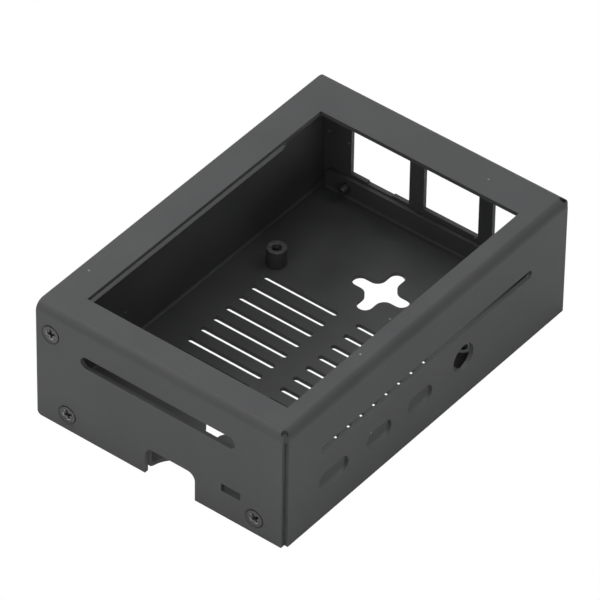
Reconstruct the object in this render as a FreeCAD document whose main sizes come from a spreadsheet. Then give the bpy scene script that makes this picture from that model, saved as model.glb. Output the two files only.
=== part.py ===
"""Case for a single board computer: a folded cover, a folded tray, posts and screws.

The frame has its origin under the middle of the closed case. X runs from the card end
to the port end, Y from the port side to the header side, and Z is up. Lengths are in
millimetres.
"""
import FreeCAD, Part
import math
import os
import re

import Sketcher

SIZES = [
    ("case_length", 94.4, "outside, card end to port end"),
    ("case_width", 64.5, "outside, port side to header side"),
    ("case_height", 30.4, "outside, underside to top"),
    ("cover_sheet", 1.0, "thickness of the cover's sheet"),
    ("cover_bend", 1.2, "inside radius of the cover's folds"),
    ("corner_gap", 1.1, "how far the port-side wall stops short of the corners"),
    ("end_wall_gap", 0.85, "how far the end walls stop short of the port side"),
    ("corner_relief", 1.5, "round hole where two cover folds meet"),
    ("relief_step", 0.15, "middle of the relief hole inwards of the port-side wall's ends"),
    ("corner_round", 1.0, "radius on the header-side lower corners of the end walls"),
    ("tray_sheet", 1.0, "thickness of the tray's sheet"),
    ("tray_bend", 0.6, "inside radius of the tray's folds"),
    ("tray_lift", 0.3, "underside of the floor above the cover's lower edges"),
    ("tray_drop", 1.45, "top of the header-side wall below the top of the case"),
    ("slip_gap", 0.1, "room between tray and cover walls"),
    ("flange_inset", 4.25, "end flanges of the tray, from the port side"),
    ("flange_wall_gap", 2.2, "end flanges of the tray, from the header side"),
    ("flange_top", 6.2, "top of the end flanges above the case's underside"),
    ("flange_bevel", 1.0, "bevel on the upper corners of the end flanges"),
    ("tab_height", 5.0, "screw tabs on the header-side wall"),
    ("tab_reach", 7.2, "screw tabs, from the header side inwards"),
    ("tab_relief", 0.8, "slit between a screw tab's fold and the wall"),
    ("rim_card_end", 7.25, "top frame at the card end"),
    ("rim_port_end", 10.95, "top frame at the port end"),
    ("rim_port_side", 5.35, "top frame along the port side"),
    ("rim_header_side", 7.5, "top frame along the header side"),
    ("board_from_card_end", 4.68, "board's edge from the outside of the card end"),
    ("board_from_port_side", 2.19, "board's edge from the outside of the port side"),
    ("board_from_header_side", 6.31, "board's edge from the outside of the header side"),
    ("post_inset", 3.5, "posts from the nearest edges of the board"),
    ("post_pitch_long", 58.0, "posts, along the case"),
    ("post_height", 4.5, "board's seat above the floor"),
    ("post_diameter", 4.4, "outside of a post"),
    ("post_spigot", 3.2, "foot of a post, pressed through the floor"),
    ("post_bore", 2.05, "thread of a post, at its inner diameter"),
    ("press_gap", 0.02, "round the pressed foot and round a screw's thread"),
    ("side_slot_length", 70.2, "long slot in both side walls"),
    ("side_slot_width", 2.2, "long slot in both side walls, its height"),
    ("side_slot_drop", 11.95, "middle of the port-side slot below the top"),
    ("side_slot_shift", 0.75, "middle of the port-side slot towards the card end"),
    ("wall_slot_drop", 10.15, "middle of the header-side slot below the top"),
    ("wall_slot_shift", 1.95, "middle of the header-side slot towards the card end"),
    ("card_slot_length", 40.0, "slot in the card end"),
    ("card_slot_width", 3.0, "slot in the card end, its height"),
    ("card_slot_drop", 9.4, "middle of the card-end slot below the top"),
    ("card_slot_shift", 0.6, "middle of the card-end slot towards the header side"),
    ("card_across", 27.4, "middle of the memory card notch across the board"),
    ("card_notch_width", 13.0, "memory card notch in the cover"),
    ("card_notch_rise", 1.3, "top of the memory card notch above the seat"),
    ("card_notch_round", 2.0, "upper corners of the memory card notch"),
    ("card_bite_width", 12.8, "half-round bite in the tray at the notch"),
    ("card_bite_depth", 7.7, "reach of the bite from the outside of the card end"),
    ("lamp_across", 11.66, "status light slot across the board"),
    ("lamp_width", 4.9, "status light slot"),
    ("lamp_tall", 2.0, "status light slot, its height"),
    ("lamp_rise", 1.9, "middle of the status light slot above the seat"),
    ("power_along", 11.2, "power port along the board"),
    ("power_width", 9.6, "power port"),
    ("power_tall", 4.4, "power port, its height"),
    ("power_rise", 3.95, "middle of the power port above the seat"),
    ("video_along_one", 26.0, "first video port along the board"),
    ("video_along_two", 39.5, "second video port along the board"),
    ("video_width", 8.2, "video ports"),
    ("video_tall", 4.4, "video ports, their height"),
    ("video_rise", 3.8, "middle of the video ports above the seat"),
    ("audio_along", 54.0, "audio hole along the board"),
    ("audio_diameter", 6.8, "audio hole"),
    ("audio_rise", 5.05, "middle of the audio hole above the seat"),
    ("network_inset", 9.6, "network port from the board's header-side edge"),
    ("network_width", 15.5, "network port window"),
    ("network_low", 1.15, "foot of the network window above the seat"),
    ("network_high", 14.4, "head of the network window above the seat"),
    ("network_nick_width", 6.8, "shallow nick under the network window"),
    ("network_nick_deep", 0.35, "shallow nick under the network window, its depth"),
    ("data_across_one", 27.65, "inner double data port across the board"),
    ("data_across_two", 9.65, "outer double data port across the board"),
    ("data_width", 14.4, "data port windows"),
    ("data_low", 1.8, "foot of the data windows above the seat"),
    ("data_high", 17.2, "head of the data windows above the seat"),
    ("vent_rows", 8, "vent slots in each column of the floor"),
    ("vent_pitch", 4.2, "from one vent slot to the next"),
    ("vent_width", 1.35, "vent slots"),
    ("vent_length", 19.6, "vent slots, end to end"),
    ("vent_spread", 24.6, "between the middles of the two columns"),
    ("cross_spread", 52.5, "between the middles of the two cross-shaped holes"),
    ("floor_shift", 0.45, "middle of the vents and crosses towards the card end"),
    ("cross_reach", 7.2, "cross-shaped hole, middle to end"),
    ("cross_arm", 3.6, "cross-shaped hole, width of an arm"),
    ("cross_hollow", 2.2, "cross-shaped hole, radius between arms"),
    ("screw_low_inset", 7.85, "lower screws from the nearest side of the case"),
    ("screw_low", 3.9, "lower screws above the case's underside"),
    ("screw_high_drop", 6.9, "upper screw below the top"),
    ("screw_high_inset", 3.68, "upper screw from the header side"),
    ("screw_length", 4.0, "screw, over all"),
    ("screw_head", 4.7, "head of a screw"),
    ("screw_cone", 1.1, "depth of a screw's head"),
    ("screw_shank", 2.2, "thread of a screw, at its mean diameter"),
    ("head_room", 0.15, "countersink round a screw's head"),
    ("drive_reach", 1.35, "cross recess of a screw, middle to end"),
    ("drive_arm", 0.5, "cross recess of a screw, width of an arm"),
    ("drive_depth", 0.7, "cross recess of a screw, its depth"),
]

SEAT = "(tray_lift + tray_sheet + post_height)"
BOARD_X = "(board_from_card_end - case_length / 2)"
BOARD_Y = "(board_from_port_side - case_width / 2)"
COVER_FOLD = "(cover_bend + cover_sheet)"
TRAY_FOLD = "(tray_bend + tray_sheet)"
TRAY_END = "(case_length / 2 - cover_sheet - slip_gap)"
TRAY_TOP = "(case_height - tray_drop)"
BOARD_FAR_Y = "(case_width / 2 - board_from_header_side)"
CARD_Y = f"({BOARD_Y} + card_across)"
LOW_SCREW_Y = "(case_width / 2 - screw_low_inset)"
HIGH_SCREW_Y = "(case_width / 2 - screw_high_inset)"
HIGH_SCREW_Z = "(case_height - screw_high_drop)"
THREAD_HOLE = "(screw_shank + 2 * press_gap)"

document = FreeCAD.newDocument("board_case")
sheet = document.addObject("Spreadsheet::Sheet", "Sizes")
for row, (alias, number, meaning) in enumerate(SIZES, start=1):
    sheet.set(f"A{row}", meaning)
    sheet.set(f"B{row}", str(number))
    sheet.setAlias(f"B{row}", alias)
document.recompute()


def length(formula):
    """The number that a formula on the sheet's sizes gives."""
    return float(sheet.evalExpression(formula))


def bind(item, path, formula):
    """Ties a property to a formula: each size's name gets the sheet's name in front."""
    item.setExpression(path, re.sub(r"[a-z]+_[a-z_]+", r"Sizes.\g<0>", formula))


def new_body(name):
    """Starts one piece."""
    body = document.addObject("PartDesign::Body", name)
    body.Label = name
    return body


def origin_item(body, role):
    """A plane or axis of the body's own origin."""
    return next(item for item in body.Origin.OriginFeatures if item.Role == role)


def sketch_on(body, name, role, offset="0"):
    """An empty sketch on an origin plane, moved along the plane's normal by a formula.

    The normals are +Z for the XY plane, -Y for the XZ plane and +X for the YZ plane.
    """
    sketch = body.newObject("Sketcher::SketchObject", name)
    sketch.AttachmentSupport = [(origin_item(body, role), "")]
    sketch.MapMode = "FlatFace"
    bind(sketch, "AttachmentOffset.Base.z", offset)
    return sketch


def hold(sketch, kind, places, formula):
    """Adds a named driving constraint that follows a formula."""
    index = sketch.addConstraint(Sketcher.Constraint(kind, *places, length(formula)))
    name = f"held_{index}"
    sketch.renameConstraint(index, name)
    bind(sketch, f"Constraints.{name}", formula)


def hold_point(sketch, shape, point, across, up):
    """Fixes a point of a shape in the sketch from the sketch's origin."""
    hold(sketch, "DistanceX", (-1, 1, shape, point), across)
    hold(sketch, "DistanceY", (-1, 1, shape, point), up)


def circle(sketch, across, up, diameter):
    """A round hole or post."""
    centre = FreeCAD.Vector(length(across), length(up), 0)
    ring = Part.Circle(centre, FreeCAD.Vector(0, 0, 1), length(diameter) / 2)
    shape = sketch.addGeometry(ring)
    hold_point(sketch, shape, 3, across, up)
    hold(sketch, "Diameter", (shape,), diameter)


def arc_between(sketch, centre, radius, start, end):
    """An arc from one angle to another, and which of its ends is entered and left."""
    ring = Part.Circle(centre, FreeCAD.Vector(0, 0, 1), radius)
    arc = sketch.addGeometry(Part.ArcOfCircle(ring, min(start, end), max(start, end)))
    return (arc, 1, 2) if end > start else (arc, 2, 1)


def belt(sketch, arcs):
    """A closed outline of arcs joined by tangent lines.

    An arc is (across, up, radius, start angle, end angle), in degrees, and its angles
    fall where the outline runs clockwise round its centre.
    """
    laid = []
    for across, up, radius, start, end in arcs:
        centre = FreeCAD.Vector(length(across), length(up), 0)
        size = length(radius)
        first, last = math.radians(start), math.radians(end)
        enter = centre + FreeCAD.Vector(math.cos(first), math.sin(first), 0) * size
        leave = centre + FreeCAD.Vector(math.cos(last), math.sin(last), 0) * size
        arc, way_in, way_out = arc_between(sketch, centre, size, first, last)
        laid.append((arc, way_in, way_out, enter, leave))
        hold_point(sketch, arc, 3, across, up)
        hold(sketch, "Radius", (arc,), radius)
    for here, there in zip(laid, laid[1:] + laid[:1]):
        line = sketch.addGeometry(Part.LineSegment(here[4], there[3]))
        sketch.addConstraint(Sketcher.Constraint("Tangent", here[0], here[2], line, 1))
        sketch.addConstraint(Sketcher.Constraint("Tangent", line, 2, there[0], there[1]))


def slot(sketch, across, up, long, wide):
    """A slot with round ends, level in the sketch."""
    reach = f"({long} - {wide}) / 2"
    belt(sketch, [(f"{across} + {reach}", up, f"{wide} / 2", -90, 90),
                  (f"{across} - {reach}", up, f"{wide} / 2", 90, 270)])


def cross(sketch, across, up, reach, arm, hollow):
    """A cross with four round-ended arms and hollow corners between them."""
    end = f"({reach} - {arm} / 2)"
    corner = f"({arm} / 2 + {hollow})"
    arcs = []
    for turn, (cos, sin) in enumerate([(1, 0), (0, 1), (-1, 0), (0, -1)]):
        arcs.append((f"{across} + {cos} * {end}", f"{up} + {sin} * {end}",
                     f"{arm} / 2", -90 + 90 * turn, 90 + 90 * turn))
        arcs.append((f"{across} + {cos - sin} * {corner}", f"{up} + {sin + cos} * {corner}",
                     hollow, -90 + 90 * turn, -180 + 90 * turn))
    belt(sketch, arcs)


def outline(sketch, corners):
    """A closed outline of level and upright lines.

    A corner is (across, up) where it is sharp and (across, up, radius) where it is round.
    """
    spots = [FreeCAD.Vector(length(corner[0]), length(corner[1]), 0) for corner in corners]
    joints = []
    for index, corner in enumerate(corners):
        spot = spots[index]
        coming = (spot - spots[index - 1]).normalize()
        going = (spots[(index + 1) % len(spots)] - spot).normalize()
        if len(corner) == 2:
            joints.append((None, 0, 0, spot, spot))
            continue
        size = length(corner[2])
        centre = spot - coming * size + going * size
        first = math.atan2(-going.y, -going.x)
        turn = math.copysign(math.pi / 2, coming.cross(going).z)
        arc, way_in, way_out = arc_between(sketch, centre, size, first, first + turn)
        joints.append((arc, way_in, way_out, spot - coming * size, spot + going * size))
        hold(sketch, "Radius", (arc,), corner[2])
    lines = []
    for index, joint in enumerate(joints):
        start, end = joint[4], joints[(index + 1) % len(joints)][3]
        level = abs(start.x - end.x) > abs(start.y - end.y)
        line = sketch.addGeometry(Part.LineSegment(start, end))
        sketch.addConstraint(Sketcher.Constraint("Horizontal" if level else "Vertical", line))
        if level:
            hold(sketch, "DistanceY", (-1, 1, line, 1), corners[index][1])
        else:
            hold(sketch, "DistanceX", (-1, 1, line, 1), corners[index][0])
        lines.append(line)
    for index, (arc, way_in, way_out, _, _) in enumerate(joints):
        before, after = lines[index - 1], lines[index]
        if arc is None:
            sketch.addConstraint(Sketcher.Constraint("Coincident", before, 2, after, 1))
            continue
        sketch.addConstraint(Sketcher.Constraint("Tangent", before, 2, arc, way_in))
        sketch.addConstraint(Sketcher.Constraint("Tangent", arc, way_out, after, 1))


def plain_cross(sketch, reach, half_arm):
    """A cross with square arms, round the sketch's origin."""
    outline(sketch, [(reach, f"-{half_arm}"), (reach, half_arm), (half_arm, half_arm),
                     (half_arm, reach), (f"-{half_arm}", reach), (f"-{half_arm}", half_arm),
                     (f"-{reach}", half_arm), (f"-{reach}", f"-{half_arm}"),
                     (f"-{half_arm}", f"-{half_arm}"), (f"-{half_arm}", f"-{reach}"),
                     (half_arm, f"-{reach}"), (half_arm, f"-{half_arm}")])


def window(sketch, low_across, high_across, low_up, high_up):
    """A rectangle with sharp corners."""
    outline(sketch, [(low_across, low_up), (high_across, low_up), (high_across, high_up),
                     (low_across, high_up)])


def pad(body, sketch, deep, centred=False):
    """Adds the sketch's area, along the normal or to both sides."""
    feature = body.newObject("PartDesign::Pad", f"{sketch.Name}_pad")
    feature.Profile = sketch
    feature.Midplane = centred
    bind(feature, "Length", deep)
    document.recompute()
    return feature


def pocket(body, sketch, deep, forward=False):
    """Takes the sketch's area out, against the normal or along it."""
    before = body.Shape.Volume
    feature = body.newObject("PartDesign::Pocket", f"{sketch.Name}_cut")
    feature.Profile = sketch
    feature.Reversed = forward
    bind(feature, "Length", deep)
    document.recompute()
    if not feature.Shape.Volume < before:
        raise ValueError(f"{feature.Name} takes nothing away")
    return feature


def picked_edges(body, chosen):
    """The edges of the body's last feature that a test picks."""
    return [f"Edge{number}" for number, edge in enumerate(body.Tip.Shape.Edges, start=1)
            if chosen(edge)]


def round_edges(body, name, radius, chosen):
    """Rounds the picked edges of the body's last feature."""
    base = (body.Tip, picked_edges(body, chosen))
    feature = body.newObject("PartDesign::Fillet", name)
    feature.Base = base
    bind(feature, "Radius", radius)
    document.recompute()


def bevel_edges(body, name, size, chosen):
    """Cuts the picked edges of the body's last feature off at 45 degrees."""
    base = (body.Tip, picked_edges(body, chosen))
    feature = body.newObject("PartDesign::Chamfer", name)
    feature.Base = base
    bind(feature, "Size", size)
    document.recompute()


def short_edge_at(height, sheet_size, low_y=-math.inf):
    """Picks the sheet's own thickness edges that lie level at one height, beyond low_y."""
    def chosen(edge):
        box = edge.BoundBox
        at_height = max(abs(box.ZMin - height), abs(box.ZMax - height)) < 1e-4
        return at_height and abs(edge.Length - sheet_size) < 1e-4 and box.YMin > low_y
    return chosen


def screw_places():
    """The three screws of one end, as (across, up) in the wall's plane."""
    return [(f"-{LOW_SCREW_Y}", "screw_low"), (LOW_SCREW_Y, "screw_low"),
            (HIGH_SCREW_Y, HIGH_SCREW_Z)]


def cover_folds(body):
    """The folded sheet: top, two end walls and the port-side wall, open at the corners."""
    half, inner = "case_length / 2", "(case_length / 2 - cover_sheet)"
    under = "(case_height - cover_sheet)"
    ends = sketch_on(body, "end_walls", "XZ_Plane", "-case_width / 2")
    outline(ends, [(f"-{half}", "0"), (f"-{inner}", "0"), (f"-{inner}", under, "cover_bend"),
                   (inner, under, "cover_bend"), (inner, "0"), (half, "0"),
                   (half, "case_height", COVER_FOLD), (f"-{half}", "case_height", COVER_FOLD)])
    pad(body, ends, "case_width - end_wall_gap")
    wall, face = "-case_width / 2", "(cover_sheet - case_width / 2)"
    rim = "(rim_port_side - case_width / 2)"
    side = sketch_on(body, "port_side_wall", "YZ_Plane")
    outline(side, [(wall, "0"), (face, "0"), (face, under, "cover_bend"), (rim, under),
                   (rim, "case_height"), (wall, "case_height", COVER_FOLD)])
    pad(body, side, "case_length - 2 * corner_gap", centred=True)


def outside_of_fold(sketch, across, way):
    """The corner left of a fold's outer arc, or right of it where the way is 1."""
    beyond = f"({across} + {way} * cover_sheet)"
    low, inner = f"(case_height - 2 * {COVER_FOLD})", f"({across} - {way} * 2 * {COVER_FOLD})"
    over = "(case_height + cover_sheet)"
    outline(sketch, [(beyond, low), (across, low), (across, "case_height", COVER_FOLD),
                     (inner, "case_height"), (inner, over), (beyond, over)])


def cover_fold_ends(body):
    """Takes off what one fold's flat end leaves outside the arc of the other."""
    side = sketch_on(body, "outside_port_side_fold", "YZ_Plane", "-case_length / 2")
    outside_of_fold(side, "(-case_width / 2)", -1)
    pocket(body, side, "case_length", forward=True)
    ends = sketch_on(body, "outside_end_folds", "XZ_Plane", "-case_width / 2")
    outside_of_fold(ends, "(-case_length / 2)", -1)
    outside_of_fold(ends, "(case_length / 2)", 1)
    pocket(body, ends, "case_width", forward=True)


def cover_top(body):
    """The large window in the top, and the relief holes where the folds meet."""
    top = sketch_on(body, "top_window", "XY_Plane", "case_height")
    window(top, "rim_card_end - case_length / 2", "case_length / 2 - rim_port_end",
           "rim_port_side - case_width / 2", "case_width / 2 - rim_header_side")
    pocket(body, top, "2 * cover_sheet")
    relief = sketch_on(body, "corner_reliefs", "XY_Plane", "case_height")
    inset = "(corner_gap + relief_step)"
    for end in ("-", ""):
        circle(relief, f"{end}(case_length / 2 - {inset})", f"{inset} - case_width / 2",
               "corner_relief")
    pocket(body, relief, f"{COVER_FOLD} + corner_relief / 2")


def cover_card_end(body):
    """The slot, the memory card notch and the status light slot in the card end."""
    deep = "2 * cover_sheet"
    slots = sketch_on(body, "card_end_slots", "YZ_Plane", "-case_length / 2")
    slot(slots, "card_slot_shift", "case_height - card_slot_drop", "card_slot_length",
         "card_slot_width")
    lamp_y, lamp_z = f"{BOARD_Y} + lamp_across", f"{SEAT} + lamp_rise"
    window(slots, f"{lamp_y} - lamp_width / 2", f"{lamp_y} + lamp_width / 2",
           f"{lamp_z} - lamp_tall / 2", f"{lamp_z} + lamp_tall / 2")
    pocket(body, slots, deep, forward=True)
    notch = sketch_on(body, "card_notch", "YZ_Plane", "-case_length / 2")
    low, high = f"{CARD_Y} - card_notch_width / 2", f"{CARD_Y} + card_notch_width / 2"
    head, foot = f"{SEAT} + card_notch_rise", "-cover_sheet"
    outline(notch, [(low, foot), (high, foot), (high, head, "card_notch_round"),
                    (low, head, "card_notch_round")])
    pocket(body, notch, deep, forward=True)


def cover_port_side(body):
    """The long slot, the power and video ports and the audio hole."""
    side = sketch_on(body, "port_side_holes", "XZ_Plane", "case_width / 2")
    slot(side, "-side_slot_shift", "case_height - side_slot_drop", "side_slot_length",
         "side_slot_width")
    slot(side, f"{BOARD_X} + power_along", f"{SEAT} + power_rise", "power_width", "power_tall")
    for along in ("video_along_one", "video_along_two"):
        slot(side, f"{BOARD_X} + {along}", f"{SEAT} + video_rise", "video_width", "video_tall")
    circle(side, f"{BOARD_X} + audio_along", f"{SEAT} + audio_rise", "audio_diameter")
    pocket(body, side, "2 * cover_sheet")


def cover_port_end(body):
    """The network window with its nick, and the two data windows."""
    network = sketch_on(body, "network_window", "YZ_Plane", "case_length / 2")
    middle = f"({BOARD_FAR_Y} - network_inset)"
    low, high = f"{middle} - network_width / 2", f"{middle} + network_width / 2"
    nick_low = f"{middle} - network_nick_width / 2"
    nick_high = f"{middle} + network_nick_width / 2"
    foot, head = f"({SEAT} + network_low)", f"({SEAT} + network_high)"
    nick = f"({foot} - network_nick_deep)"
    outline(network, [(low, foot), (nick_low, foot), (nick_low, nick), (nick_high, nick),
                      (nick_high, foot), (high, foot), (high, head), (low, head)])
    pocket(body, network, "2 * cover_sheet")
    for across in ("data_across_one", "data_across_two"):
        port = sketch_on(body, f"{across}_window", "YZ_Plane", "case_length / 2")
        window(port, f"{BOARD_Y} + {across} - data_width / 2",
               f"{BOARD_Y} + {across} + data_width / 2",
               f"{SEAT} + data_low", f"{SEAT} + data_high")
        pocket(body, port, "2 * cover_sheet")


def cover_screw_holes(body):
    """Three countersunk holes in each end wall."""
    for end in (-1, 1):
        name = "card_end_screws" if end < 0 else "port_end_screws"
        marks = sketch_on(body, name, "YZ_Plane", f"{end} * case_length / 2")
        for across, up in screw_places():
            circle(marks, across, up, THREAD_HOLE)
        document.recompute()
        before = body.Shape.Volume
        hole = body.newObject("PartDesign::Hole", f"{name}_holes")
        hole.Profile = marks
        document.recompute()
        hole.Reversed = end < 0
        hole.DepthType = "Dimension"
        hole.HoleCutType = "Countersink"
        hole.HoleCutCustomValues = True
        hole.DrillPoint = "Flat"
        bind(hole, "Diameter", "screw_shank + 2 * head_room")
        bind(hole, "Depth", "2 * cover_sheet")
        bind(hole, "HoleCutDiameter", "screw_head + 2 * head_room")
        bind(hole, "HoleCutCountersinkAngle",
             "2 * atan((screw_head - screw_shank) / 2 / screw_cone)")
        document.recompute()
        if not hole.Shape.Volume < before:
            raise ValueError(f"{hole.Name} takes nothing away")


def make_cover():
    """The folded cover."""
    body = new_body("cover")
    cover_folds(body)
    cover_fold_ends(body)
    cover_top(body)
    cover_card_end(body)
    cover_port_side(body)
    cover_port_end(body)
    cover_screw_holes(body)
    header_side = length("case_width / 2 - cover_sheet")
    round_edges(body, "wall_corners", "corner_round",
                short_edge_at(0, length("cover_sheet"), header_side))
    return body


def tray_folds(body):
    """The folded sheet: floor, end flanges, header-side wall and its two screw tabs."""
    floor = sketch_on(body, "floor", "XY_Plane", "tray_lift")
    near = "cover_sheet + slip_gap - case_width / 2"
    far = f"case_width / 2 - {TRAY_FOLD}"
    outline(floor, [(f"{TRAY_FOLD} - {TRAY_END}", near), (f"{TRAY_END} - {TRAY_FOLD}", near),
                    (f"{TRAY_END} - {TRAY_FOLD}", far), (f"{TRAY_FOLD} - {TRAY_END}", far)])
    pad(body, floor, "tray_sheet")

    face, top = f"({TRAY_END} - tray_sheet)", "(tray_lift + tray_sheet)"
    flanges = sketch_on(body, "end_flanges", "XZ_Plane", "flange_wall_gap - case_width / 2")
    outline(flanges, [(f"-{TRAY_END}", "flange_top"), (f"-{TRAY_END}", "tray_lift", TRAY_FOLD),
                      (TRAY_END, "tray_lift", TRAY_FOLD), (TRAY_END, "flange_top"),
                      (face, "flange_top"), (face, top, "tray_bend"),
                      (f"-{face}", top, "tray_bend"), (f"-{face}", "flange_top")])
    pad(body, flanges, "case_width - flange_inset - flange_wall_gap")

    outer, inner = "case_width / 2", "(case_width / 2 - tray_sheet)"
    lap = f"(case_width / 2 - {TRAY_FOLD} - tray_sheet)"
    wall = sketch_on(body, "header_side_wall", "YZ_Plane")
    outline(wall, [(lap, "tray_lift"), (outer, "tray_lift", TRAY_FOLD), (outer, TRAY_TOP),
                   (inner, TRAY_TOP), (inner, top, "tray_bend"), (lap, top)])
    pad(body, wall, f"2 * {TRAY_END}", centred=True)


def tray_tabs(body):
    """The two screw tabs, folded in from the ends of the header-side wall."""
    clear = sketch_on(body, "tab_slits", "XZ_Plane", "-case_width / 2")
    low = f"{HIGH_SCREW_Z} - tab_height / 2 - tab_relief"
    high = f"{HIGH_SCREW_Z} + tab_height / 2 + tab_relief"
    start, stop = f"({TRAY_END} - {TRAY_FOLD})", f"({TRAY_END} + slip_gap)"
    outline(clear, [(start, low), (stop, low), (stop, high), (start, high)])
    outline(clear, [(f"-{stop}", low), (f"-{start}", low), (f"-{start}", high),
                    (f"-{stop}", high)])
    pocket(body, clear, "2 * tray_sheet", forward=True)

    tabs = sketch_on(body, "screw_tabs", "XY_Plane", f"{HIGH_SCREW_Z} - tab_height / 2")
    outer, inner = "case_width / 2", "case_width / 2 - tray_sheet"
    tip = "case_width / 2 - tab_reach"
    lap = f"({TRAY_END} - {TRAY_FOLD} - tray_sheet)"
    face = f"({TRAY_END} - tray_sheet)"
    outline(tabs, [(lap, outer), (lap, inner), (face, inner, "tray_bend"), (face, tip),
                   (TRAY_END, tip), (TRAY_END, outer, TRAY_FOLD)])
    outline(tabs, [(f"-{lap}", outer), (f"-{lap}", inner), (f"-{face}", inner, "tray_bend"),
                   (f"-{face}", tip), (f"-{TRAY_END}", tip), (f"-{TRAY_END}", outer, TRAY_FOLD)])
    pad(body, tabs, "tab_height")


def tray_wall_slot(body):
    """The long slot in the header-side wall, a little higher than the one on the port side."""
    long_slot = sketch_on(body, "header_side_slot", "XZ_Plane", "-case_width / 2")
    slot(long_slot, "-wall_slot_shift", "case_height - wall_slot_drop", "side_slot_length",
         "side_slot_width")
    pocket(body, long_slot, "2 * tray_sheet", forward=True)


def tray_floor_holes(body):
    """Vents, cross-shaped holes, the bite for the memory card and the holes for the posts."""
    first = "-vent_pitch * (vent_rows - 1) / 2 - floor_shift"
    vents = sketch_on(body, "vents", "XY_Plane", "tray_lift + tray_sheet")
    for side in ("-", ""):
        reach = "(vent_length - vent_width) / 2"
        middle = f"{side}vent_spread / 2"
        belt(vents, [(first, f"{middle} + {reach}", "vent_width / 2", 0, 180),
                     (first, f"{middle} - {reach}", "vent_width / 2", 180, 360)])
    row = pocket(body, vents, "2 * tray_sheet")
    rows = body.newObject("PartDesign::LinearPattern", "vent_pattern")
    rows.Originals = [row]
    rows.Direction = (origin_item(body, "X_Axis"), [""])
    bind(rows, "Length", "vent_pitch * (vent_rows - 1)")
    bind(rows, "Occurrences", "vent_rows")
    body.Tip = rows
    document.recompute()

    crosses = sketch_on(body, "crosses", "XY_Plane", "tray_lift + tray_sheet")
    for side in ("-", ""):
        cross(crosses, f"{side}cross_spread / 2 - floor_shift", "0", "cross_reach", "cross_arm",
              "cross_hollow")
    pocket(body, crosses, "2 * tray_sheet")

    bite = sketch_on(body, "card_bite", "XY_Plane")
    reach = "card_bite_depth - case_length / 2"
    slot(bite, f"{reach} - card_bite_width", CARD_Y, "2 * card_bite_width", "card_bite_width")
    pocket(body, bite, "flange_top + tray_sheet", forward=True)

    feet = sketch_on(body, "post_holes", "XY_Plane", "tray_lift + tray_sheet")
    for across, up in post_places():
        circle(feet, across, up, "post_spigot + 2 * press_gap")
    pocket(body, feet, "2 * tray_sheet")


def tray_screw_holes(body):
    """Threaded holes in the end flanges and in the screw tabs."""
    for end in (-1, 1):
        name = "card_end_threads" if end < 0 else "port_end_threads"
        holes = sketch_on(body, name, "YZ_Plane", f"{end} * {TRAY_END}")
        for across, up in screw_places():
            circle(holes, across, up, THREAD_HOLE)
        pocket(body, holes, "2 * tray_sheet", forward=end < 0)


def make_tray():
    """The folded tray."""
    body = new_body("tray")
    tray_folds(body)
    tray_tabs(body)
    tray_wall_slot(body)
    tray_floor_holes(body)
    tray_screw_holes(body)
    bevel_edges(body, "flange_corners", "flange_bevel",
                short_edge_at(length("flange_top"), length("tray_sheet")))
    bevel_edges(body, "wall_corners_under_fold", "cover_bend + slip_gap",
                short_edge_at(length(TRAY_TOP), length("tray_sheet")))
    return body


def post_places():
    """The four posts under the board's corner holes, as (across, up) in the floor's plane."""
    near = (f"{BOARD_X} + post_inset", f"{BOARD_Y} + post_inset")
    far = (f"{near[0]} + post_pitch_long", f"{BOARD_FAR_Y} - post_inset")
    return [(across, up) for across in (near[0], far[0]) for up in (near[1], far[1])]


def revolve(body, name, corners):
    """Turns an outline of level and upright lines, right of the axis, round the Z axis."""
    profile = sketch_on(body, name, "XZ_Plane")
    outline(profile, corners)
    turned = body.newObject("PartDesign::Revolution", f"{name}_turned")
    turned.Profile = profile
    turned.ReferenceAxis = (profile, ["V_Axis"])
    turned.Angle = 360
    document.recompute()


def make_standoff(number, across, up):
    """A threaded post: its foot goes through the floor, and the board rests on its top."""
    body = new_body(f"standoff_{number}")
    revolve(body, f"post_{number}", [
        ("post_bore / 2", "-tray_sheet"), ("post_spigot / 2", "-tray_sheet"),
        ("post_spigot / 2", "0"), ("post_diameter / 2", "0"),
        ("post_diameter / 2", "post_height"), ("post_bore / 2", "post_height")])
    bind(body, "Placement.Base.x", across)
    bind(body, "Placement.Base.y", up)
    bind(body, "Placement.Base.z", "tray_lift + tray_sheet")
    return body


def make_screw(number, end, across, up):
    """A countersunk screw with a cross recess, flush with the outside of an end wall."""
    body = new_body(f"screw_{number}")
    name = f"turned_{number}"
    shank = sketch_on(body, f"{name}_shank", "XY_Plane", "-screw_length")
    circle(shank, "0", "0", "screw_shank")
    pad(body, shank, "screw_length")
    head = body.newObject("PartDesign::AdditiveCone", f"{name}_head")
    bind(head, "Radius1", "screw_shank / 2")
    bind(head, "Radius2", "screw_head / 2")
    bind(head, "Height", "screw_cone")
    bind(head, "Placement.Base.z", "-screw_cone")
    document.recompute()
    recess = sketch_on(body, f"{name}_recess", "XY_Plane")
    plain_cross(recess, "drive_reach", "drive_arm / 2")
    pocket(body, recess, "drive_depth")
    body.Placement = FreeCAD.Placement(
        FreeCAD.Vector(0, 0, 0), FreeCAD.Rotation(FreeCAD.Vector(0, 1, 0), 90 * end))
    bind(body, "Placement.Base.x", f"{end} * case_length / 2")
    bind(body, "Placement.Base.y", across)
    bind(body, "Placement.Base.z", up)
    return body


def make_case():
    """Every piece of the case."""
    pieces = [make_cover(), make_tray()]
    for number, (across, up) in enumerate(post_places(), start=1):
        pieces.append(make_standoff(number, across, up))
    places = [(end, *place) for end in (-1, 1) for place in screw_places()]
    for number, (end, across, up) in enumerate(places, start=1):
        pieces.append(make_screw(number, end, across, up))
    document.recompute()
    return pieces


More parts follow.
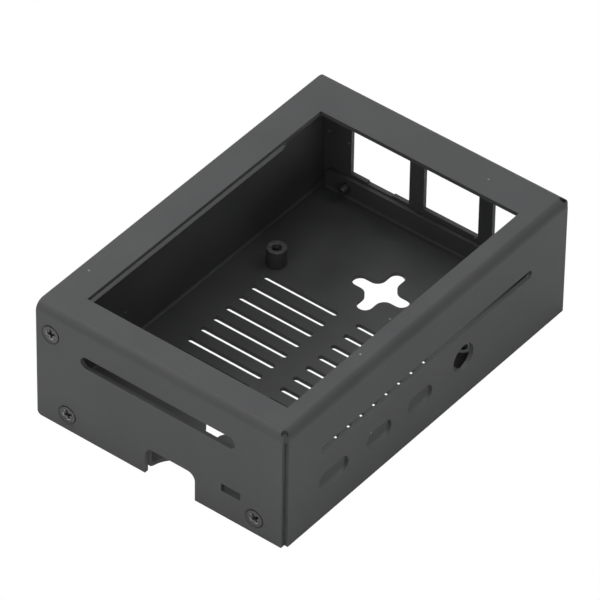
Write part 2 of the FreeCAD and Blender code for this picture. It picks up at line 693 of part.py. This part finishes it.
def write(pieces):
    """Checks every object and every piece, then writes one file for each piece."""
    for item in document.Objects:
        if {"Invalid", "Error"} & set(item.State):
            raise ValueError(f"{item.Name} failed: {item.State}")
    for piece in pieces:
        if piece.Shape.isNull() or not piece.Shape.isValid() or len(piece.Shape.Solids) != 1:
            raise ValueError(f"{piece.Label} is not one valid solid")
    os.makedirs("parts", exist_ok=True)
    for piece in pieces:
        piece.Shape.exportStep(f"parts/{piece.Label}.step")
        box = piece.Shape.BoundBox
        print(f"{piece.Label}: {piece.Shape.Volume:.2f} mm3, "
              f"x {box.XMin:.2f} {box.XMax:.2f}, y {box.YMin:.2f} {box.YMax:.2f}, "
              f"z {box.ZMin:.2f} {box.ZMax:.2f}")


write(make_case())
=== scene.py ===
"""Looks of a folded sheet metal case for a small single board computer.

The case has a cover and a tray of black powder-coated steel, four standoffs that carry
the board, and six black countersunk screws. Every piece is made in the frame of the
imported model, in metres: X runs from the card end to the port end, Y from the port side
to the header side, and Z is up.
"""

import logging
import math
from dataclasses import dataclass, field
from enum import Enum
from typing import Any

import bmesh
import bpy
import numpy as np
from mathutils import Matrix, Vector


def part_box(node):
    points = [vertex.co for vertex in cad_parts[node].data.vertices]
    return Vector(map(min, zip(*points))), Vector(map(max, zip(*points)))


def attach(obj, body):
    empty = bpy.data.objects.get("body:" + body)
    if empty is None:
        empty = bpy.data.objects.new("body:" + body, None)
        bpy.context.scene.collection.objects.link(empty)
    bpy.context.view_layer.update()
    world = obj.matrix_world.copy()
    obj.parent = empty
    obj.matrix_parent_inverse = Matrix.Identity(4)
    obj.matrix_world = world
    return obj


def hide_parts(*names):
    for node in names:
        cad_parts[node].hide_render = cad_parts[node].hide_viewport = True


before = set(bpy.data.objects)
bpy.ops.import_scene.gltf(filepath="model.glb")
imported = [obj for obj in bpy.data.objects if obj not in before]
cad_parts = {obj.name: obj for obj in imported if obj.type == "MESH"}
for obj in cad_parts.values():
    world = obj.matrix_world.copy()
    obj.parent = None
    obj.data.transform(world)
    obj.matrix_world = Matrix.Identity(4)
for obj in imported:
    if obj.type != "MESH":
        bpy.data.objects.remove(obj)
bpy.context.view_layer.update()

MM = 0.001
BODY = "root"
WEAR = "rubbed_bare"
MIX_FIRST, MIX_SECOND, MIX_COLOUR = 6, 7, 2
LONGEST_ROUNDING = 0.45
LOG = logging.getLogger("board_case")


class Slot(Enum):
    """Material slots of the record, one for each finish."""

    SHEET = "coated_sheet"
    POST = "post_metal"
    SCREW = "black_screw"


class Value:
    """A shader socket that adds Math nodes when it is used in an expression."""

    def __init__(self, graph: "Graph", socket: bpy.types.NodeSocket) -> None:
        """Keeps the socket and the graph that it belongs to."""
        self.graph = graph
        self.socket = socket

    def maths(self, operation: str, *operands: Any) -> "Value":
        """Adds one Math node.

        Args:
            operation: the node's operation, such as MULTIPLY.
            operands: its inputs in order, sockets or numbers.

        Returns:
            The node's result.
        """
        settings = {"operation": operation}
        node = self.graph.node("ShaderNodeMath", settings, dict(enumerate(operands)))
        return Value(self.graph, node.outputs[0])

    def __add__(self, other: Any) -> "Value":
        """This value plus another."""
        return self.maths("ADD", self, other)

    def __sub__(self, other: Any) -> "Value":
        """This value less another."""
        return self.maths("SUBTRACT", self, other)

    def __rsub__(self, other: Any) -> "Value":
        """Another value less this one."""
        return self.maths("SUBTRACT", other, self)

    def __mul__(self, other: Any) -> "Value":
        """This value times another."""
        return self.maths("MULTIPLY", self, other)

    def __lt__(self, other: Any) -> "Value":
        """1 where this value is less than another, else 0."""
        return self.maths("LESS_THAN", self, other)

    __radd__ = __add__
    __rmul__ = __mul__

    def ramp(self, low: float, high: float) -> "Value":
        """A smooth rise from 0 at low to 1 at high.

        Args:
            low: the value where the rise starts.
            high: the value where it ends.

        Returns:
            The value between 0 and 1.
        """
        settings = {"interpolation_type": "SMOOTHSTEP"}
        inputs = {"Value": self, "From Min": low, "From Max": high}
        node = self.graph.node("ShaderNodeMapRange", settings, inputs)
        return Value(self.graph, node.outputs["Result"])


class Graph:
    """The node tree of one material, with its shader and the piece's own coordinates."""

    def __init__(self, name: str) -> None:
        """Makes the material.

        Args:
            name: the material's name.
        """
        self.material = bpy.data.materials.new(name)
        self.material.use_nodes = True
        self.tree = self.material.node_tree
        self.shader = self.tree.nodes["Principled BSDF"]
        place = self.node("ShaderNodeTexCoord", {}, {})
        self.place = Value(self, place.outputs["Object"])

    def node(self, kind: str, settings: dict[str, Any], inputs: dict[Any, Any]) -> bpy.types.Node:
        """Adds a node.

        Args:
            kind: the node's type.
            settings: its properties, which are set first.
            inputs: what its sockets get, by name or number: a Value to link, or a constant.

        Returns:
            The new node.
        """
        made = self.tree.nodes.new(kind)
        for key, setting in settings.items():
            setattr(made, key, setting)
        for key, given in inputs.items():
            if isinstance(given, Value):
                self.tree.links.new(given.socket, made.inputs[key])
            else:
                made.inputs[key].default_value = given
        return made

    def noise(self, size: float, detail: float = 2.0) -> Value:
        """Soft noise round 0.5.

        Args:
            size: the size of its blotches, in metres.
            detail: how many finer layers it has.

        Returns:
            The noise, from about 0.2 to 0.8.
        """
        inputs = {"Vector": self.place, "Scale": 1 / size, "Detail": detail}
        node = self.node("ShaderNodeTexNoise", {}, inputs)
        return Value(self, node.outputs["Fac"])

    def specks(self, spacing: float, radius: float, share: float) -> Value:
        """Small round specks, in a share of the cells of a random lattice.

        Args:
            spacing: the distance between the cells' middles, in metres.
            radius: the radius of a speck, in metres.
            share: the share of the cells that hold one.

        Returns:
            1 in a speck and 0 elsewhere, with a soft rim.
        """
        inputs = {"Vector": self.place, "Scale": 1 / spacing}
        cells = self.node("ShaderNodeTexVoronoi", {}, inputs)
        near = 1 - Value(self, cells.outputs["Distance"]).ramp(0.5 * radius / spacing,
                                                               radius / spacing)
        picks = self.node("ShaderNodeSeparateColor", {}, {0: Value(self, cells.outputs["Color"])})
        return near * (Value(self, picks.outputs[0]) < share)

    def blend(self, factor: Value, first: Any, second: Any) -> Value:
        """Mixes two colours, of which each is a Value, or red, green and blue.

        Args:
            factor: 0 for the first colour and 1 for the second.
            first: the first colour.
            second: the second colour.

        Returns:
            The mixed colour.
        """
        pair = [given if isinstance(given, Value) else (*given, 1.0) for given in (first, second)]
        inputs = {"Factor": factor, MIX_FIRST: pair[0], MIX_SECOND: pair[1]}
        node = self.node("ShaderNodeMix", {"data_type": "RGBA"}, inputs)
        return Value(self, node.outputs[MIX_COLOUR])

    def bump(self, height: Value, depth: float, strength: float) -> Value:
        """Turns a height into a bumped normal.

        Args:
            height: the height, from 0 to 1.
            depth: how deep a height of 1 is, in metres.
            strength: how much of the bump shows.

        Returns:
            The normal.
        """
        inputs = {"Height": height, "Distance": depth, "Strength": strength}
        node = self.node("ShaderNodeBump", {}, inputs)
        return Value(self, node.outputs["Normal"])

    def feed(self, **inputs: Any) -> None:
        """Feeds the shader, with a space in a socket's name written as an underscore."""
        for key, given in inputs.items():
            socket = self.shader.inputs[key.replace("_", " ")]
            if isinstance(given, Value):
                self.tree.links.new(given.socket, socket)
            else:
                socket.default_value = given


@dataclass(frozen=True)
class PowderCoat:
    """Fine matt black powder coat: an even grain, soft blotches and a few pale specks."""

    dark: tuple[float, float, float] = (0.047, 0.048, 0.050)
    pale: tuple[float, float, float] = (0.066, 0.067, 0.069)
    speck: tuple[float, float, float] = (0.24, 0.24, 0.24)
    roughness: float = 0.66
    blotch: float = 14 * MM
    peel: float = 0.9 * MM
    grain: float = 0.22 * MM
    grain_depth: float = 0.02 * MM
    speck_spacing: float = 5.0 * MM
    speck_radius: float = 0.32 * MM
    speck_share: float = 0.4
    tone_grain: float = 0.45
    tone_range: tuple[float, float] = (0.25, 0.75)
    height_grain: float = 0.4
    blotch_gloss: float = 0.12
    grain_gloss: float = 0.10
    bump: float = 0.5
    refraction: float = 1.5

    def make(self) -> bpy.types.Material:
        """Builds the material.

        Returns:
            The finished material.
        """
        graph = Graph("powder_coat")
        blotch = graph.noise(self.blotch, 3.0)
        grain = graph.noise(self.grain, 1.0)
        peel = graph.noise(self.peel, 1.0)
        tone = ((1 - self.tone_grain) * blotch + self.tone_grain * grain).ramp(*self.tone_range)
        speck = graph.specks(self.speck_spacing, self.speck_radius, self.speck_share)
        plain = graph.blend(tone, self.dark, self.pale)
        height = (1 - self.height_grain) * peel + self.height_grain * grain
        gloss = self.blotch_gloss * (blotch - 0.5) + self.grain_gloss * (grain - 0.5)
        graph.feed(Base_Color=graph.blend(speck, plain, self.speck),
                   Roughness=self.roughness + gloss,
                   Normal=graph.bump(height, self.grain_depth, self.bump),
                   IOR=self.refraction)
        return graph.material


@dataclass(frozen=True)
class BlackOxide:
    """Satin black oxide on turned steel, rubbed bare where a driver has turned the screw."""

    dark: tuple[float, float, float] = (0.035, 0.035, 0.037)
    pale: tuple[float, float, float] = (0.085, 0.085, 0.088)
    bare: tuple[float, float, float] = (0.62, 0.61, 0.60)
    roughness: float = 0.36
    mottle: float = 0.35 * MM
    depth: float = 0.01 * MM
    tone_range: tuple[float, float] = (0.35, 0.7)
    mottle_gloss: float = 0.25
    bump: float = 0.4
    coated_metal: float = 0.35

    def make(self) -> bpy.types.Material:
        """Builds the material.

        Returns:
            The finished material.
        """
        graph = Graph("black_oxide")
        mottle = graph.noise(self.mottle, 3.0)
        mark = graph.node("ShaderNodeAttribute", {"attribute_name": WEAR}, {})
        rubbed = Value(graph, mark.outputs["Fac"])
        plain = graph.blend(mottle.ramp(*self.tone_range), self.dark, self.pale)
        graph.feed(Base_Color=graph.blend(rubbed, plain, self.bare),
                   Roughness=self.roughness + self.mottle_gloss * (mottle - 0.5),
                   Normal=graph.bump(mottle, self.depth, self.bump),
                   Metallic=self.coated_metal + (1 - self.coated_metal) * rubbed)
        return graph.material


@dataclass(frozen=True)
class PostWithPaintedHighlight:
    """Black coated steel of a standoff, with a painted highlight: the top ring of each post at
    the header side is paler in patches where light falls on it, and the posts at the port side
    stay dark, as if in shade.
    """

    dark: tuple[float, float, float] = (0.062, 0.063, 0.065)
    # Paler colour of the painted highlight on the lit top rings.
    painted_lit: tuple[float, float, float] = (0.12, 0.12, 0.12)
    roughness: float = 0.55
    mottle: float = 0.5 * MM
    lit_band: float = 0.25 * MM
    lit_patches: tuple[float, float] = (0.3, 0.6)
    depth: float = 0.01 * MM
    mottle_gloss: float = 0.2
    bump: float = 0.3
    metal: float = 0.2

    def make(self, top: float) -> bpy.types.Material:
        """Builds the material.

        Args:
            top: height of the standoffs' top face, in metres.

        Returns:
            The finished material.
        """
        graph = Graph("post_painted_highlight")
        mottle = graph.noise(self.mottle, 3.0)
        split = graph.node("ShaderNodeSeparateXYZ", {}, {0: graph.place})
        height = Value(graph, split.outputs["Z"])
        lit_posts = Value(graph, split.outputs["Y"]).ramp(-self.lit_band, self.lit_band)
        patches = mottle.ramp(*self.lit_patches)
        # Painted highlight: the top ring is paler in patches on the posts at the header side,
        # where light falls, and stays dark on the posts at the port side, which lie in shade.
        painted_highlight = height.ramp(top - self.lit_band, top) * patches * lit_posts
        graph.feed(Base_Color=graph.blend(painted_highlight, self.dark, self.painted_lit),
                   Roughness=self.roughness + self.mottle_gloss * (mottle - 0.5),
                   Normal=graph.bump(mottle, self.depth, self.bump),
                   Metallic=self.metal)
        return graph.material


@dataclass(frozen=True)
class PaleFloor:
    """Plain white studio floor, with or without a glow of its own."""

    name: str
    colour: tuple[float, float, float]
    glow: float
    roughness: float = 0.9

    def make(self) -> bpy.types.Material:
        """Builds the material.

        Returns:
            The finished material.
        """
        graph = Graph(self.name)
        graph.feed(Base_Color=(*self.colour, 1.0), Roughness=self.roughness,
                   Emission_Color=(1.0, 1.0, 1.0, 1.0), Emission_Strength=self.glow,
                   Specular_IOR_Level=0.0)
        return graph.material


def link(name: str, mesh: bpy.types.Mesh, material: bpy.types.Material) -> bpy.types.Object:
    """Puts a mesh into the scene with one material.

    Args:
        name: the object's name.
        mesh: its mesh, in the frame's coordinates.
        material: its finish.

    Returns:
        The object, at the origin.
    """
    made = bpy.data.objects.new(name, mesh)
    mesh.materials.clear()
    mesh.materials.append(material)
    bpy.context.scene.collection.objects.link(made)
    return made


def settle(piece: bpy.types.Object, node: str) -> None:
    """Says what a piece rides on and which node it stands for, and hides that node.

    Args:
        piece: the finished piece.
        node: the node that it replaces.
    """
    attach(piece, BODY)
    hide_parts(node)
    faces = len(piece.data.polygons)
    LOG.info("%s stands for %s, %d faces before modifiers", piece.name, node, faces)


def turned_mesh(name: str, spots: np.ndarray, closed: bool) -> bpy.types.Mesh:
    """Makes a mesh from a grid of rings that each run once round an axis.

    Args:
        name: the mesh's name.
        spots: points of shape (rings, steps, 3). Seen along the axis from the last ring,
            a ring of an open grid runs so that its faces point outwards.
        closed: whether the last ring joins the first. An open grid is closed by one point
            at each end instead, in the middle of its first and of its last ring.

    Returns:
        The mesh, shaded smooth.
    """
    rings, steps, _ = spots.shape
    number = np.arange(rings * steps).reshape(rings, steps)
    beside = np.roll(number, -1, axis=1)
    lower, upper = (number, np.roll(number, -1, axis=0)) if closed else (number[:-1], number[1:])
    lower_beside = beside if closed else beside[:-1]
    upper_beside = np.roll(beside, -1, axis=0) if closed else beside[1:]
    quads = np.stack([lower, lower_beside, upper_beside, upper], axis=-1).reshape(-1, 4)
    faces = quads.tolist()
    points = spots.reshape(-1, 3)
    if not closed:
        ends = np.stack([spots[0].mean(axis=0), spots[-1].mean(axis=0)])
        first, last = len(points), len(points) + 1
        points = np.concatenate([points, ends])
        caps = [np.stack([beside[0], number[0], np.full(steps, first)], axis=-1),
                np.stack([number[-1], beside[-1], np.full(steps, last)], axis=-1)]
        faces += np.concatenate(caps).tolist()
    mesh = bpy.data.meshes.new(name)
    mesh.from_pydata(points.tolist(), [], faces)
    mesh.validate()
    mesh.shade_smooth()
    return mesh


def rounded_profile(corners: list[tuple[float, float]], radius: float, closed: bool,
                    steps: int = 5) -> np.ndarray:
    """Rounds the corners of an outline.

    A corner is replaced by a quadratic curve between two points a and b that lie a radius
    before and after it, or less where a side is short, so that one corner takes at most
    LONGEST_ROUNDING of a side: (1-t)^2 a + 2 t (1-t) corner + t^2 b.

    Args:
        corners: points of the outline, in order.
        radius: how far from a corner its curve starts.
        closed: whether the outline's end joins its start. The two ends of an open outline
            stay sharp.
        steps: points on each curve.

    Returns:
        The rounded outline, of shape (points, 2).
    """
    spots = np.array(corners)
    before = spots - np.roll(spots, 1, axis=0)
    after = np.roll(spots, -1, axis=0) - spots
    before_length = np.linalg.norm(before, axis=1, keepdims=True)
    after_length = np.linalg.norm(after, axis=1, keepdims=True)
    start = spots - before * np.minimum(radius / before_length, LONGEST_ROUNDING)
    end = spots + after * np.minimum(radius / after_length, LONGEST_ROUNDING)
    if not closed:
        start[[0, -1]] = spots[[0, -1]]
        end[[0, -1]] = spots[[0, -1]]
    share = np.linspace(0, 1, steps)[None, :, None]
    curve = ((1 - share) ** 2 * start[:, None] + 2 * share * (1 - share) * spots[:, None]
             + share ** 2 * end[:, None])
    if closed:
        return curve.reshape(-1, 2)
    return np.concatenate([spots[:1], curve[1:-1].reshape(-1, 2), spots[-1:]])


def fine_rows(profile: np.ndarray, spacing: float) -> np.ndarray:
    """Adds points to an outline so that none are further apart than a spacing.

    Args:
        profile: points of shape (points, 2).
        spacing: the widest gap left.

    Returns:
        The finer outline.
    """
    gaps = np.linalg.norm(np.diff(profile, axis=0), axis=1)
    travel = np.concatenate([[0], np.cumsum(gaps)])
    extra = np.arange(0, travel[-1], spacing)
    wanted = np.unique(np.concatenate([travel, extra]).round(9))
    return np.stack([np.interp(wanted, travel, profile[:, axis]) for axis in (0, 1)], axis=1)


@dataclass
class FoldedSheet:
    """A folded sheet: the node's own form, with its cut edges rounded by the coating."""

    node: str
    material: bpy.types.Material
    edge_round: float = 0.10 * MM
    edge_steps: int = 3
    edge_angle: float = math.radians(30)
    flat_angle: float = math.radians(0.4)
    weld: float = 0.002 * MM

    def form(self) -> bmesh.types.BMesh:
        """Copies the node's triangles, merges them and joins those that lie flat.

        Returns:
            The sheet's form.
        """
        form = bmesh.new()
        form.from_mesh(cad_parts[self.node].data)
        bmesh.ops.remove_doubles(form, verts=form.verts, dist=self.weld)
        bmesh.ops.dissolve_limit(form, angle_limit=self.flat_angle, verts=form.verts,
                                 edges=form.edges, use_dissolve_boundaries=False)
        return form

    def make(self) -> bpy.types.Object:
        """Builds the piece and rounds its edges.

        Returns:
            The finished piece.
        """
        form = self.form()
        mesh = bpy.data.meshes.new(f"{self.node}_sheet")
        form.to_mesh(mesh)
        form.free()
        mesh.shade_smooth()
        piece = link(f"{self.node}_sheet", mesh, self.material)
        soft = piece.modifiers.new("coated_edges", "BEVEL")
        soft.width = self.edge_round
        soft.segments = self.edge_steps
        soft.limit_method = "ANGLE"
        soft.angle_limit = self.edge_angle
        soft.miter_outer = "MITER_ARC"
        smooth = piece.modifiers.new("level_faces", "WEIGHTED_NORMAL")
        smooth.mode = "FACE_AREA"
        smooth.weight = 100
        settle(piece, self.node)
        return piece


@dataclass
class Standoff:
    """A turned post with a threaded bore and a pressed foot."""

    node: str
    material: bpy.types.Material
    foot_height: float = 1.0 * MM
    foot_radius: float = 1.6 * MM
    bore_radius: float = 1.025 * MM
    edge: float = 0.22 * MM
    bore_mouth: float = 0.22 * MM
    thread_pitch: float = 0.45 * MM
    thread_depth: float = 0.16 * MM
    plain_ends: float = 0.33 * MM
    bore_slack: float = 0.02 * MM
    row_spacing: float = 0.08 * MM
    steps: int = 72

    def make(self) -> bpy.types.Object:
        """Builds the post.

        The outline is turned round the post's axis. In the bore its radius is the bore's
        plus the thread's depth times a triangle wave of height / pitch - turn.

        Returns:
            The finished piece.
        """
        low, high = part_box(self.node)
        centre = (low + high) / 2
        radius = (high.x - low.x) / 2
        tall = high.z - low.z
        mouth = self.bore_radius + self.bore_mouth
        outline = rounded_profile([
            (self.foot_radius, 0.0), (self.foot_radius, self.foot_height),
            (radius, self.foot_height), (radius, tall), (mouth, tall),
            (self.bore_radius, tall - self.bore_mouth), (self.bore_radius, self.bore_mouth),
            (mouth, 0.0)], self.edge, closed=True)
        outline = fine_rows(np.concatenate([outline, outline[:1]]), self.row_spacing)[:-1]
        turn = np.linspace(0, 2 * math.pi, self.steps, endpoint=False)
        reach = np.repeat(outline[:, :1], self.steps, axis=1)
        height = np.repeat(outline[:, 1:], self.steps, axis=1)
        phase = (height / self.thread_pitch - turn / (2 * math.pi)) % 1
        wave = np.abs(2 * phase - 1)
        inside = ((reach < self.bore_radius + self.bore_slack)
                  & (np.abs(height - tall / 2) < tall / 2 - self.plain_ends))
        reach = reach + np.where(inside, self.thread_depth * wave, 0.0)
        spots = np.stack([centre.x + reach * np.cos(turn), centre.y + reach * np.sin(turn),
                          low.z + height], axis=-1)
        mesh = turned_mesh(f"{self.node}_turned", spots, closed=True)
        piece = link(f"{self.node}_turned", mesh, self.material)
        settle(piece, self.node)
        return piece


@dataclass
class Screw:
    """A countersunk screw with a cross recess, seated in the outside of an end wall."""

    node: str
    material: bpy.types.Material
    turned_by: float
    sunk: float = 0.13 * MM
    head_depth: float = 1.1 * MM
    rim: float = 0.28 * MM
    rim_bevel: float = 0.06 * MM
    shank_radius: float = 1.1 * MM
    tip_bevel: float = 0.25 * MM
    edge: float = 0.08 * MM
    thread_pitch: float = 0.45 * MM
    thread_depth: float = 0.10 * MM
    arm_half_width: float = 0.33 * MM
    arm_reach: float = 1.25 * MM
    arm_slope: float = 0.6 * MM
    recess_depth: float = 1.25 * MM
    wall: float = 0.20 * MM
    worn_depth: float = 0.26 * MM
    pole_radius: float = 0.02 * MM
    face_radius: float = 1.6 * MM
    face_rings: int = 40
    row_spacing: float = 0.07 * MM
    thread_start: float = 0.1 * MM
    steps: int = 144

    def recess(self, reach: np.ndarray, turn: np.ndarray) -> np.ndarray:
        """Depth of the cross recess at a point of the head.

        A point lies in an arm where the smaller of its two distances from the cross's middle
        lines is less than half the arm's width. The depth rises over a narrow wall there,
        and slopes down to nothing at the arm's end.

        Args:
            reach: distance from the screw's axis.
            turn: angle round the axis.

        Returns:
            The depth, in metres.
        """
        across = np.abs(reach * np.cos(turn - self.turned_by))
        along = np.abs(reach * np.sin(turn - self.turned_by))
        short, long = np.minimum(across, along), np.maximum(across, along)
        flank = np.clip((self.arm_half_width - short) / self.wall + 0.5, 0, 1)
        slope = np.clip((self.arm_reach - long) / self.arm_slope, 0, 1)
        return self.recess_depth * flank * flank * (3 - 2 * flank) * slope

    def make(self) -> bpy.types.Object:
        """Builds the screw, seated on the cone of its hole, a little under the sheet's face.

        The outline is turned round the screw's axis, from the middle of the head out over
        its rim, down the cone and along the shank to the tip. The thread's radius is the
        shank's plus its depth times a triangle wave of height / pitch - turn. The recess's
        walls are marked as rubbed, by 4 d (1 - d) of the depth's share d.

        Returns:
            The finished piece.
        """
        low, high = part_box(self.node)
        centre = (low + high) / 2
        outwards = math.copysign(1.0, centre.x)
        head = (high.x if outwards > 0 else low.x) - outwards * self.sunk
        head_radius = (high.z - low.z) / 2
        cone = (head_radius - self.shank_radius) / self.head_depth
        rim_radius = head_radius - cone * self.rim
        long = high.x - low.x
        rings = np.linspace(self.pole_radius, self.face_radius, self.face_rings)
        top = np.stack([rings, np.zeros(self.face_rings)], axis=1)
        sides = rounded_profile([
            (self.face_radius, 0.0), (rim_radius - self.rim_bevel, 0.0), (rim_radius, -self.rim),
            (self.shank_radius, -self.head_depth), (self.shank_radius, self.tip_bevel - long),
            (self.shank_radius - self.tip_bevel, -long), (self.pole_radius, -long)],
            self.edge, closed=False)
        outline = np.concatenate([top, fine_rows(sides, self.row_spacing)[1:]])
        turn = np.linspace(0, 2 * math.pi, self.steps, endpoint=False)
        reach = np.repeat(outline[:, :1], self.steps, axis=1)
        height = np.repeat(outline[:, 1:], self.steps, axis=1)
        face = height > -self.rim / 2
        depth = np.where(face, self.recess(reach, turn), 0.0)
        height = height - depth
        phase = (height / self.thread_pitch - turn / (2 * math.pi)) % 1
        wave = np.abs(2 * phase - 1) - 0.5
        threaded = ((height < -self.head_depth - self.thread_start)
                    & (height > self.tip_bevel - long) & ~face)
        reach = reach + np.where(threaded, self.thread_depth * wave, 0.0)
        spots = np.stack([head + outwards * height, centre.y + reach * np.cos(turn) * outwards,
                          centre.z + reach * np.sin(turn)], axis=-1)
        mesh = turned_mesh(f"{self.node}_turned", spots[::-1], closed=False)
        share = np.clip(depth[::-1] / self.worn_depth, 0, 1).reshape(-1)
        rubbed = np.concatenate([4 * share * (1 - share), np.zeros(2)])
        mark = mesh.attributes.new(WEAR, "FLOAT", "POINT")
        mark.data.foreach_set("value", rubbed.astype(np.float32))
        piece = link(f"{self.node}_turned", mesh, self.material)
        settle(piece, self.node)
        return piece


@dataclass
class SoftLight:
    """One square softbox that faces the case."""

    name: str
    azimuth: float
    elevation: float
    power: float
    distance: float = 1.5
    size: float = 0.8

    def make(self) -> bpy.types.Object:
        """Builds the light.

        Returns:
            The light's object.
        """
        around, rise = math.radians(self.azimuth), math.radians(self.elevation)
        towards = Vector((math.sin(around) * math.cos(rise), -math.cos(around) * math.cos(rise),
                          math.sin(rise)))
        light = bpy.data.lights.new(self.name, "AREA")
        light.shape = "SQUARE"
        light.size = self.size
        light.energy = self.power
        made = bpy.data.objects.new(self.name, light)
        made.location = towards * self.distance
        made.rotation_euler = towards.to_track_quat("Z", "Y").to_euler()
        bpy.context.scene.collection.objects.link(made)
        return made


@dataclass
class Studio:
    """A plain white floor in the middle of a ring of softboxes.

    The floor is two sheets in one place: the one that shows glows, so that it stays white
    under the case and behind its holes, and the one that doesn't show lights the case from
    below, by a faint glow and by the light that it returns. The strongest lights stand
    beyond the header side, so that its wall is dark inside.
    """

    floor_size: float = 8.0
    floor_drop: float = 0.02 * MM
    shown: PaleFloor = PaleFloor("shown_floor", (0.0, 0.0, 0.0), 1.0)
    lit: PaleFloor = PaleFloor("lit_floor", (0.80, 0.80, 0.80), 0.25)
    sky: float = 0.15
    lights: list[SoftLight] = field(default_factory=lambda: [
        SoftLight("overhead", 0.0, 90.0, 3.6),
        SoftLight("header_side_high", 180.0, 50.0, 9.2),
        SoftLight("header_side_low", 180.0, 20.0, 8.5),
        SoftLight("card_end_side", 270.0, 38.0, 3.6),
        SoftLight("near_corner", 315.0, 20.0, 3.0),
        SoftLight("port_corner", 45.0, 50.0, 3.1),
        SoftLight("port_end_side", 90.0, 20.0, 2.2),
        SoftLight("far_corner", 135.0, 27.0, 2.9),
    ])

    def floor(self, name: str, drop: float, finish: PaleFloor) -> bpy.types.Object:
        """Builds one sheet of the floor.

        Args:
            name: its name.
            drop: how far it lies under the case, in metres.
            finish: its finish.

        Returns:
            The sheet.
        """
        half = self.floor_size / 2
        corners = [(-half, -half, -drop), (half, -half, -drop), (half, half, -drop),
                   (-half, half, -drop)]
        mesh = bpy.data.meshes.new(name)
        mesh.from_pydata(corners, [], [(0, 1, 2, 3)])
        sheet = link(name, mesh, finish.make())
        return sheet

    def make(self) -> None:
        """Builds the floor, the lights and the pale surroundings."""
        shown = self.floor("floor_shown", self.floor_drop, self.shown)
        shown.visible_diffuse = shown.visible_glossy = shown.visible_shadow = False
        lit = self.floor("floor_lit", 2 * self.floor_drop, self.lit)
        lit.visible_camera = False
        for light in self.lights:
            light.make()
        world = bpy.data.worlds.new("surroundings")
        world.use_nodes = True
        background = world.node_tree.nodes["Background"]
        background.inputs["Color"].default_value = (1.0, 1.0, 1.0, 1.0)
        background.inputs["Strength"].default_value = self.sky
        bpy.context.scene.world = world
        bpy.context.scene.view_settings.view_transform = "Standard"


@dataclass
class PhotoCamera:
    """The photograph's camera, a long lens that looks down at the card end and port side."""

    azimuth: float = math.radians(-52.231)
    elevation: float = math.radians(41.500)
    roll: float = math.radians(0.930)
    distance: float = 1446.77 * MM
    aside: float = -0.862 * MM
    above: float = 12.389 * MM
    scale: float = 4.8405 / MM
    frame_width: int = 600
    sensor: float = 36.0
    farthest: float = 20.0

    def make(self) -> bpy.types.Object:
        """Builds the camera and makes it the scene's own.

        Its distance is measured from the frame's origin, its scale is in pixels for each
        metre at that distance, and aside and above are its shifts in its own plane.

        Returns:
            The camera's object.
        """
        back = Vector((math.sin(self.azimuth) * math.cos(self.elevation),
                       -math.cos(self.azimuth) * math.cos(self.elevation),
                       math.sin(self.elevation)))
        level = Vector((0, 0, 1)).cross(back).normalized()
        upright = back.cross(level)
        right = math.cos(self.roll) * level + math.sin(self.roll) * upright
        above = math.cos(self.roll) * upright - math.sin(self.roll) * level
        lens = bpy.data.cameras.new("camera")
        lens.sensor_width = self.sensor
        lens.lens = self.scale * self.distance * self.sensor / self.frame_width
        lens.clip_end = self.farthest
        made = bpy.data.objects.new("camera", lens)
        place = right * self.aside + above * self.above + back * self.distance
        turn = Matrix((right, above, back)).transposed()
        made.matrix_world = Matrix.Translation(place) @ turn.to_4x4()
        bpy.context.scene.collection.objects.link(made)
        bpy.context.scene.camera = made
        return made


@dataclass
class BoardCase:
    """The whole case: cover, tray, standoffs, and screws that each have their own turn."""

    standoffs: int = 4
    turns: tuple[float, ...] = (0.62, 0.35, 0.15, 0.9, 1.2, 0.4)

    def make(self) -> list[bpy.types.Object]:
        """Builds every piece.

        Returns:
            The pieces.
        """
        coat = PowderCoat().make()
        oxide = BlackOxide().make()
        post_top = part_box("standoff_1")[1].z
        # The standoffs' material paints a highlight on the top rings of the posts at the header
        # side.
        steel = PostWithPaintedHighlight().make(post_top)
        pieces = [FoldedSheet(node, coat).make() for node in ("cover", "tray")]
        for number in range(1, self.standoffs + 1):
            pieces.append(Standoff(f"standoff_{number}", steel).make())
        for number, turned_by in enumerate(self.turns, start=1):
            pieces.append(Screw(f"screw_{number}", oxide, turned_by).make())
        return pieces


def main() -> None:
    """Builds the case, the studio and the camera."""
    logging.basicConfig(level=logging.INFO, format="%(name)s: %(message)s")
    pieces = BoardCase().make()
    LOG.info("%d pieces made", len(pieces))
    Studio().make()
    PhotoCamera().make()


if __name__ == "__main__":
    main()
